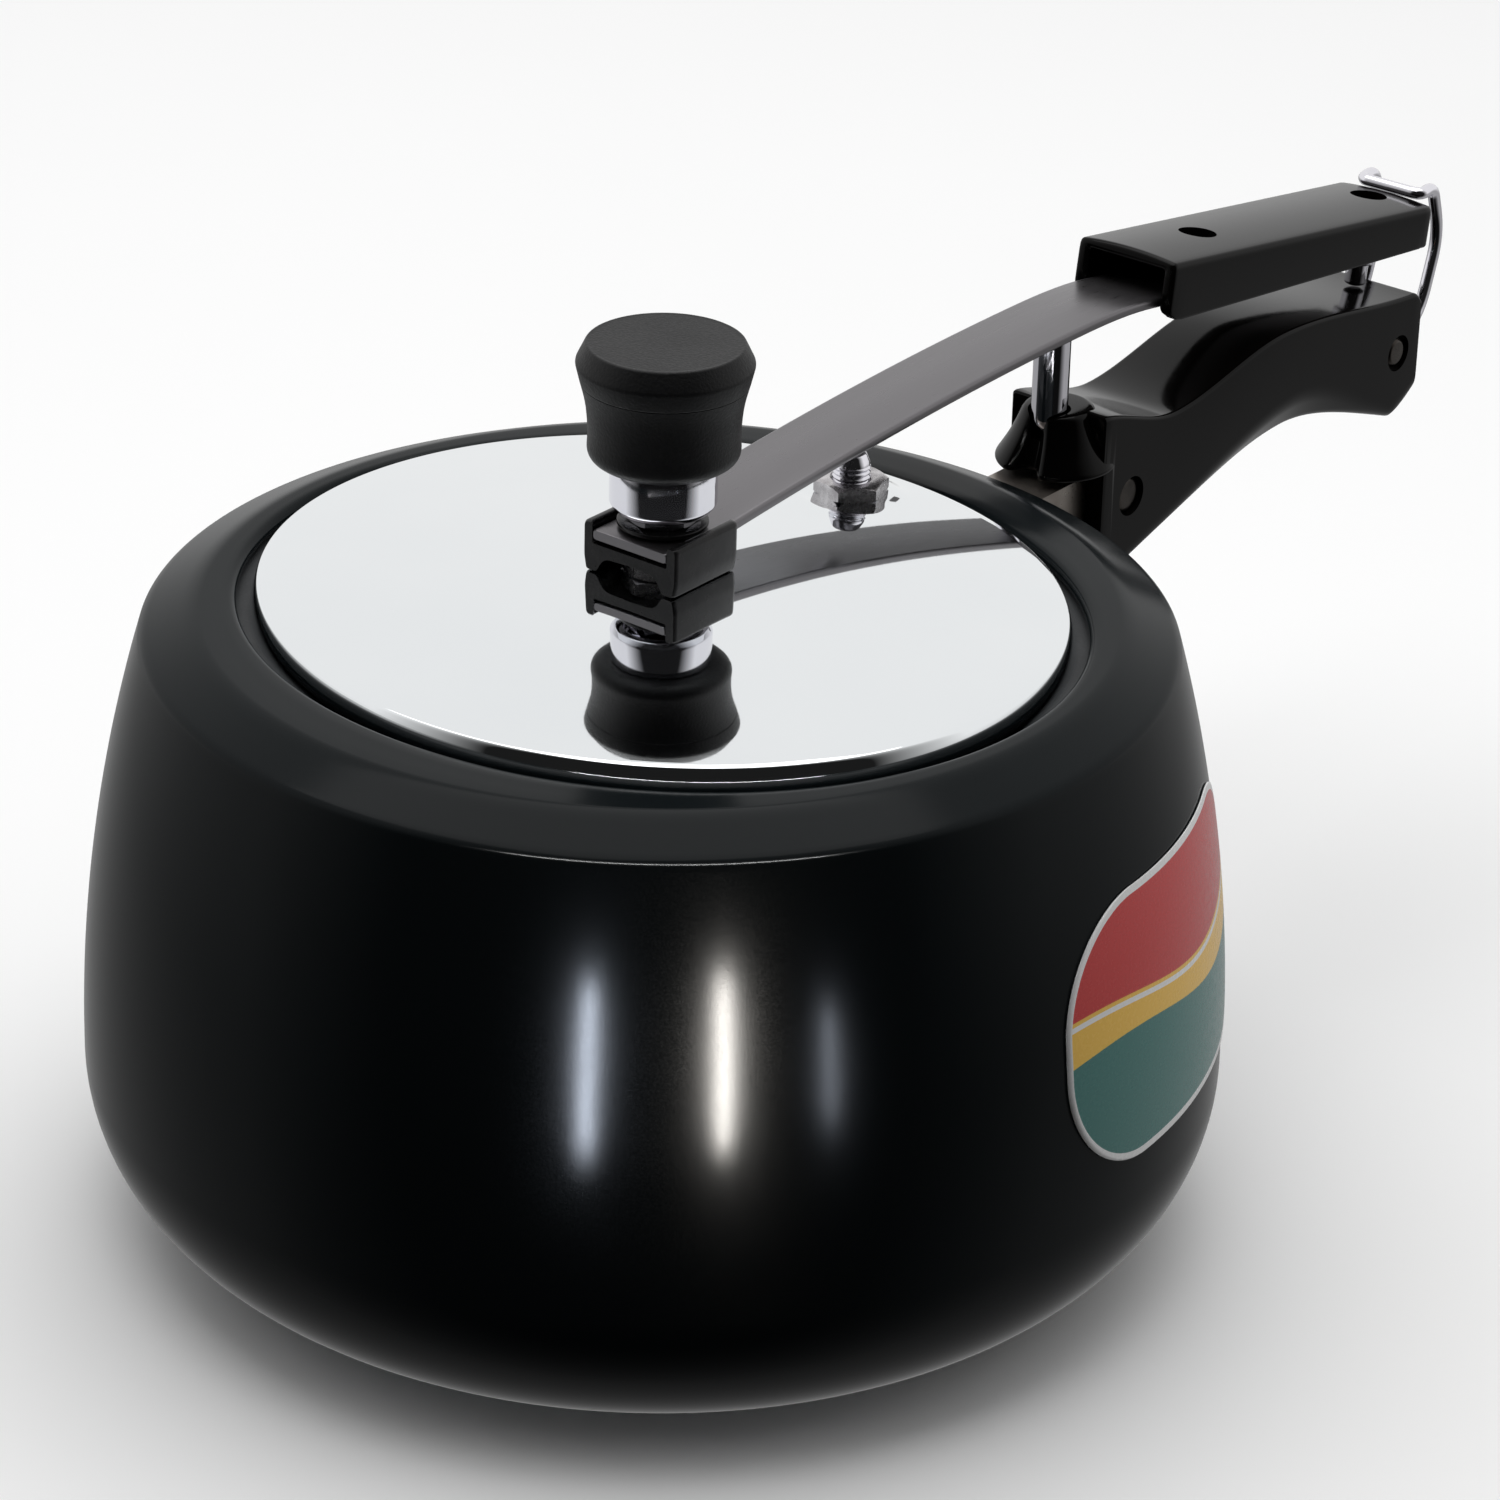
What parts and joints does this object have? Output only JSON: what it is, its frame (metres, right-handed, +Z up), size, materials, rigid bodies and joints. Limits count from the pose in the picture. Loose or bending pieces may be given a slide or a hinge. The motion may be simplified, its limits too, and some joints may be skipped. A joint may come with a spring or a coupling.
{
  "type": "stovetop pressure cooker",
  "caption": "Stovetop pressure cooker: rounded charcoal pot, oval mirror lid held from inside by a lever bar, black handles, wire locking bail and a lift-off regulator weight.",
  "frame": {"origin": "centre of the flat base, on the surface that the cooker stands on", "axes": "+X along the handles, away from the pot; +Z up; +Y to the left of someone looking along the handles"},
  "size_m": [0.3443, 0.2041, 0.1639],
  "materials": {
    "anodised_body": "satin hard-anodised charcoal",
    "bracket_steel": "satin",
    "rivet_metal": "satin",
    "bakelite": "glossy black moulded",
    "fastener_steel": "bright zinc",
    "label_print": "printed glossy sticker in red, yellow and teal",
    "mirror_steel": "mirror-polished steel",
    "gasket_rubber": "matt",
    "brass_tube": "machined",
    "black_steel": "semi-gloss black",
    "bar_steel": "dark satin",
    "chrome": "polished",
    "fuse_alloy": "dull soft alloy",
    "cap_plastic": "matt textured black"
  },
  "bodies": {
    "pot": {"vessel": "anodised_body", "body_bracket": "bracket_steel", "bracket_rivets": "rivet_metal", "body_handle": "bakelite", "handle_bolt": "fastener_steel", "handle_nut": "fastener_steel", "bail_pin": "fastener_steel", "side_label": "label_print"},
    "lever": {"handle_bar": "bar_steel", "fulcrum_pillar": "chrome", "lid_grip": "bakelite", "grip_screws": "fastener_steel", "grip_nut": "fastener_steel", "rest_stud": "chrome"},
    "lid_assembly": {"lid": "mirror_steel", "gasket": "gasket_rubber", "vent_tube": "brass_tube", "vent_seal": "gasket_rubber", "vent_base_nut": "fastener_steel", "bar_bracket": "black_steel", "vent_washer": "black_steel", "vent_nut": "chrome", "safety_valve_body": "chrome", "fusible_plug": "fuse_alloy", "safety_valve_nut": "fastener_steel", "safety_valve_seal": "gasket_rubber"},
    "bail": {"locking_bail": "chrome"},
    "regulator": {"weight_cap": "cap_plastic", "weight_body": "chrome"}
  },
  "joints": [
    {"name": "lid_lever", "type": "hinge", "parent": "pot", "child": "lever", "pos_m": [0.11507, 0, 0.11458], "axis": [0, -1, 0], "range_deg": [0, 4]},
    {"name": "lid_level", "type": "hinge", "parent": "lever", "child": "lid_assembly", "pos_m": [0, 0, 0.12878], "axis": [0, -1, 0], "range_deg": [-4, 0]},
    {"name": "bail_swing", "type": "hinge", "parent": "pot", "child": "bail", "pos_m": [0.222, 0, 0.098], "axis": [0, 1, 0], "range_deg": [0, 96]},
    {"name": "weight_lift", "type": "slide", "parent": "lid_assembly", "child": "regulator", "axis": [0, 0, 1], "range_m": [0, 0.03]}
  ],
  "couplings": [
    {"joint": "lid_level", "follows": "lid_lever", "ratio": -1},
    {"joint": "bail_swing", "follows": "lid_lever", "ratio": 24}
  ]
}
